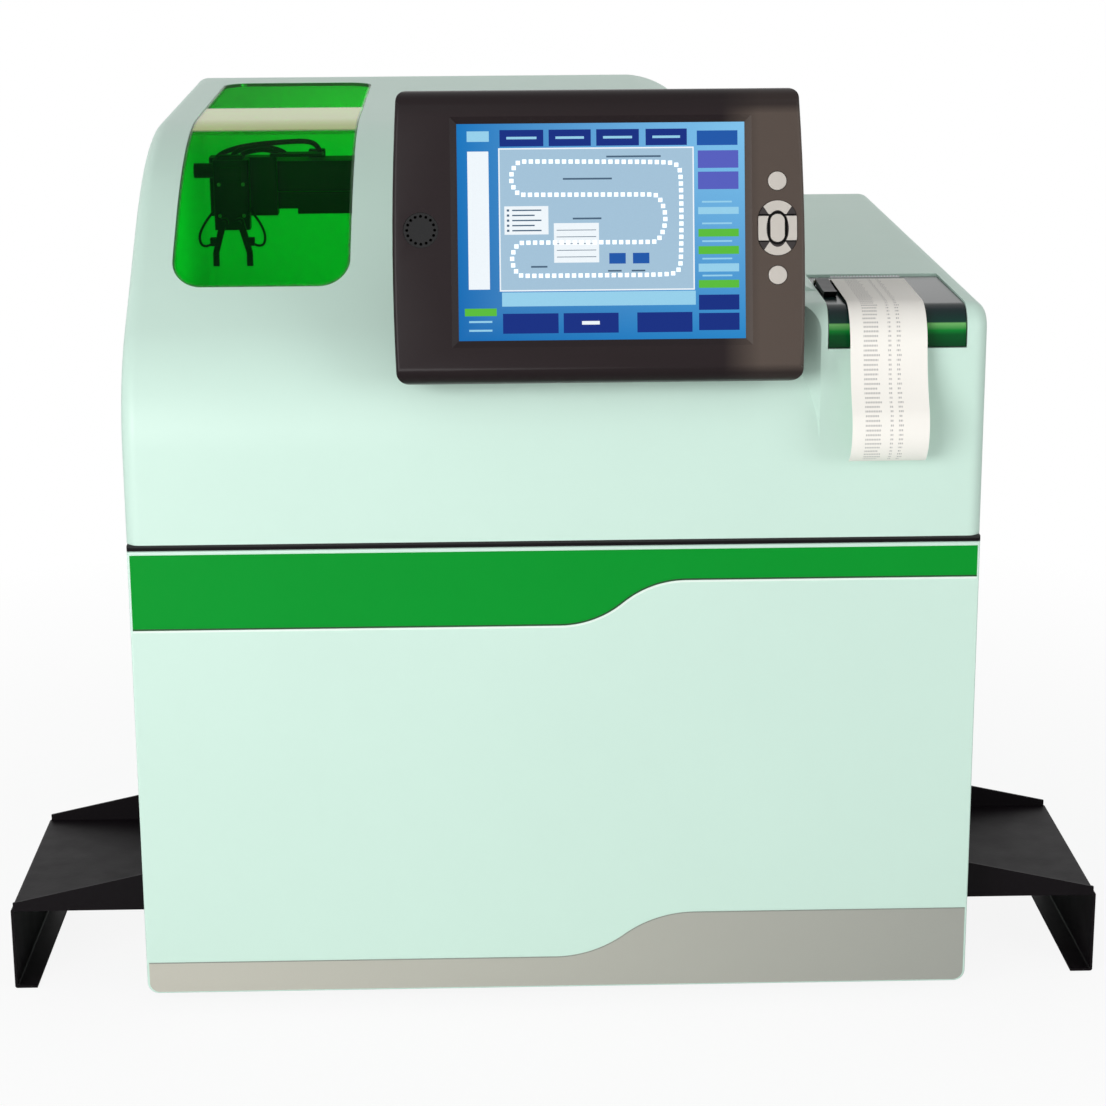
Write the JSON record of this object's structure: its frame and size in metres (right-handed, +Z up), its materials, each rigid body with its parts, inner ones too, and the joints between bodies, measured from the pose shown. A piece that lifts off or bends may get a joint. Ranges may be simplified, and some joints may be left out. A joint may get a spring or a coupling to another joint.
{
  "type": "sedimentation rate analyzer",
  "caption": "Bench blood sedimentation analyzer with a sample drawer, side rack trays, hinged hood with window, tilted display, receipt printer and gripper.",
  "frame": {"origin": "on the table, at the centre of the whole outline", "axes": "+X to the right seen from the front, +Y to the back, +Z up"},
  "size_m": [0.8768, 0.6952, 0.7189],
  "materials": {
    "body_paint": "satin",
    "hood_paint": "satin",
    "inner_paint": "satin",
    "tray_black": "semi-gloss",
    "green_film": "gloss",
    "grey_film": "satin",
    "window_green": "gloss",
    "display_dark": "satin",
    "screen": "gloss",
    "key_grey": "satin",
    "dark_plastic": "satin",
    "printer_dark": "gloss",
    "rubber": "matt",
    "steel": "brushed",
    "aluminium": "satin",
    "chain_plastic": "satin",
    "tube_glass": "gloss",
    "paper": "matt",
    "board_green": "satin"
  },
  "bodies": {
    "cabinet": {"base_pan": "inner_paint", "left_side_panel": "body_paint", "right_side_panel": "body_paint", "rear_panel": "body_paint", "deck_frame": "inner_paint", "hood_seal": "rubber", "levelling_feet": "rubber", "left_rack_tray": "tray_black", "right_rack_tray": "tray_black", "tray_screws": "steel", "rack_lane": "steel", "outer_rails": "steel", "gantry_columns": "aluminium", "hinge_lower_leaves": "steel", "fan_frame": "dark_plastic", "fan_guard": "steel", "power_inlet": "dark_plastic", "power_supply": "steel", "control_board": "board_green"},
    "drawer": {"drawer_front": "body_paint", "green_band": "green_film", "grey_band": "grey_film", "drawer_box": "inner_paint", "inner_rails": "steel", "chain_deck": "aluminium", "sample_chain": "chain_plastic", "sample_tubes": "tube_glass", "mixer_bearings": "aluminium"},
    "runner_middles": {"middle_rails": "steel"},
    "mixer": {"mixer_rotor": "aluminium"},
    "hood": {"hood_shell": "hood_paint", "hood_window": "window_green", "hinge_upper_leaves": "steel", "display_bracket": "display_dark", "display_back": "display_dark", "display_bezel": "display_dark", "display_screen": "screen", "keypad_base": "dark_plastic", "speaker_grille": "dark_plastic", "printer_bay": "dark_plastic"},
    "printer_cover_unit": {"printer_cover": "printer_dark", "paper_strip": "paper"},
    "lever": {"cover_lever": "dark_plastic"},
    "roll": {"paper_roll": "paper"},
    "platen": {"platen_roller": "rubber"},
    "beam": {"gantry_beam": "aluminium", "gantry_motor": "dark_plastic"},
    "carriage": {"gripper_carriage": "steel", "gripper_head": "aluminium"},
    "finger_left": {"left_finger": "steel"},
    "finger_right": {"right_finger": "steel"},
    "fan": {"fan_rotor": "dark_plastic"},
    "switch": {"power_switch": "dark_plastic"},
    "key_upper_button": {"key_upper": "key_grey"},
    "key_up_button": {"key_up": "key_grey"},
    "key_left_button": {"key_left": "key_grey"},
    "key_right_button": {"key_right": "key_grey"},
    "key_centre_button": {"key_centre": "key_grey"},
    "key_down_button": {"key_down": "key_grey"},
    "key_lower_button": {"key_lower": "key_grey"}
  },
  "joints": [
    {"name": "drawer_slide", "type": "slide", "parent": "cabinet", "child": "drawer", "axis": [0, -1, 0], "range_m": [0, 0.38]},
    {"name": "runner_slide", "type": "slide", "parent": "cabinet", "child": "runner_middles", "axis": [0, -1, 0], "range_m": [0, 0.19]},
    {"name": "mixer_spin", "type": "hinge", "parent": "drawer", "child": "mixer", "pos_m": [0, 0.12225, 0.292], "axis": [1, 0, 0], "continuous": true},
    {"name": "hood_hinge", "type": "hinge", "parent": "cabinet", "child": "hood", "pos_m": [0, 0.34245, 0.381], "axis": [-1, 0, 0], "range_deg": [0, 50]},
    {"name": "cover_hinge", "type": "hinge", "parent": "hood", "child": "printer_cover_unit", "pos_m": [0.257, -0.17075, 0.5536], "axis": [-1, 0, 0], "range_deg": [0, 60]},
    {"name": "lever_hinge", "type": "hinge", "parent": "printer_cover_unit", "child": "lever", "pos_m": [0.2125, -0.20975, 0.5609], "axis": [-1, 0, 0], "range_deg": [0, 25]},
    {"name": "roll_spin", "type": "hinge", "parent": "hood", "child": "roll", "pos_m": [0.249, -0.23575, 0.511], "axis": [1, 0, 0], "continuous": true},
    {"name": "platen_spin", "type": "hinge", "parent": "printer_cover_unit", "child": "platen", "pos_m": [0.257, -0.19575, 0.5474], "axis": [1, 0, 0], "continuous": true},
    {"name": "beam_lift", "type": "slide", "parent": "cabinet", "child": "beam", "axis": [0, 0, -1], "range_m": [0, 0.19]},
    {"name": "carriage_slide", "type": "slide", "parent": "beam", "child": "carriage", "axis": [1, 0, 0], "range_m": [0, 0.19]},
    {"name": "left_finger_hinge", "type": "hinge", "parent": "carriage", "child": "finger_left", "pos_m": [-0.26725, -0.053, 0.59], "axis": [0, -1, 0], "range_deg": [0, 10]},
    {"name": "right_finger_hinge", "type": "hinge", "parent": "carriage", "child": "finger_right", "pos_m": [-0.25425, -0.053, 0.59], "axis": [0, 1, 0], "range_deg": [0, 10]},
    {"name": "fan_spin", "type": "hinge", "parent": "cabinet", "child": "fan", "pos_m": [0.19, 0.32125, 0.118], "axis": [0, 1, 0], "continuous": true},
    {"name": "switch_rocker", "type": "hinge", "parent": "cabinet", "child": "switch", "pos_m": [-0.23, 0.33225, 0.1085], "axis": [-1, 0, 0], "range_deg": [0, 14]},
    {"name": "key_upper_press", "type": "slide", "parent": "hood", "child": "key_upper_button", "axis": [0, 0.9781, -0.2079], "range_m": [0, 0.0012], "stiffness_N_per_m": 300},
    {"name": "key_up_press", "type": "slide", "parent": "hood", "child": "key_up_button", "axis": [0, 0.9781, -0.2079], "range_m": [0, 0.0012], "stiffness_N_per_m": 300},
    {"name": "key_left_press", "type": "slide", "parent": "hood", "child": "key_left_button", "axis": [0, 0.9781, -0.2079], "range_m": [0, 0.0012], "stiffness_N_per_m": 300},
    {"name": "key_right_press", "type": "slide", "parent": "hood", "child": "key_right_button", "axis": [0, 0.9781, -0.2079], "range_m": [0, 0.0012], "stiffness_N_per_m": 300},
    {"name": "key_centre_press", "type": "slide", "parent": "hood", "child": "key_centre_button", "axis": [0, 0.9781, -0.2079], "range_m": [0, 0.0012], "stiffness_N_per_m": 300},
    {"name": "key_down_press", "type": "slide", "parent": "hood", "child": "key_down_button", "axis": [0, 0.9781, -0.2079], "range_m": [0, 0.0012], "stiffness_N_per_m": 300},
    {"name": "key_lower_press", "type": "slide", "parent": "hood", "child": "key_lower_button", "axis": [0, 0.9781, -0.2079], "range_m": [0, 0.0012], "stiffness_N_per_m": 300}
  ],
  "couplings": [
    {"joint": "runner_slide", "follows": "drawer_slide", "ratio": 0.5},
    {"joint": "platen_spin", "follows": "roll_spin", "ratio": 4.8},
    {"joint": "right_finger_hinge", "follows": "left_finger_hinge", "ratio": 1}
  ]
}
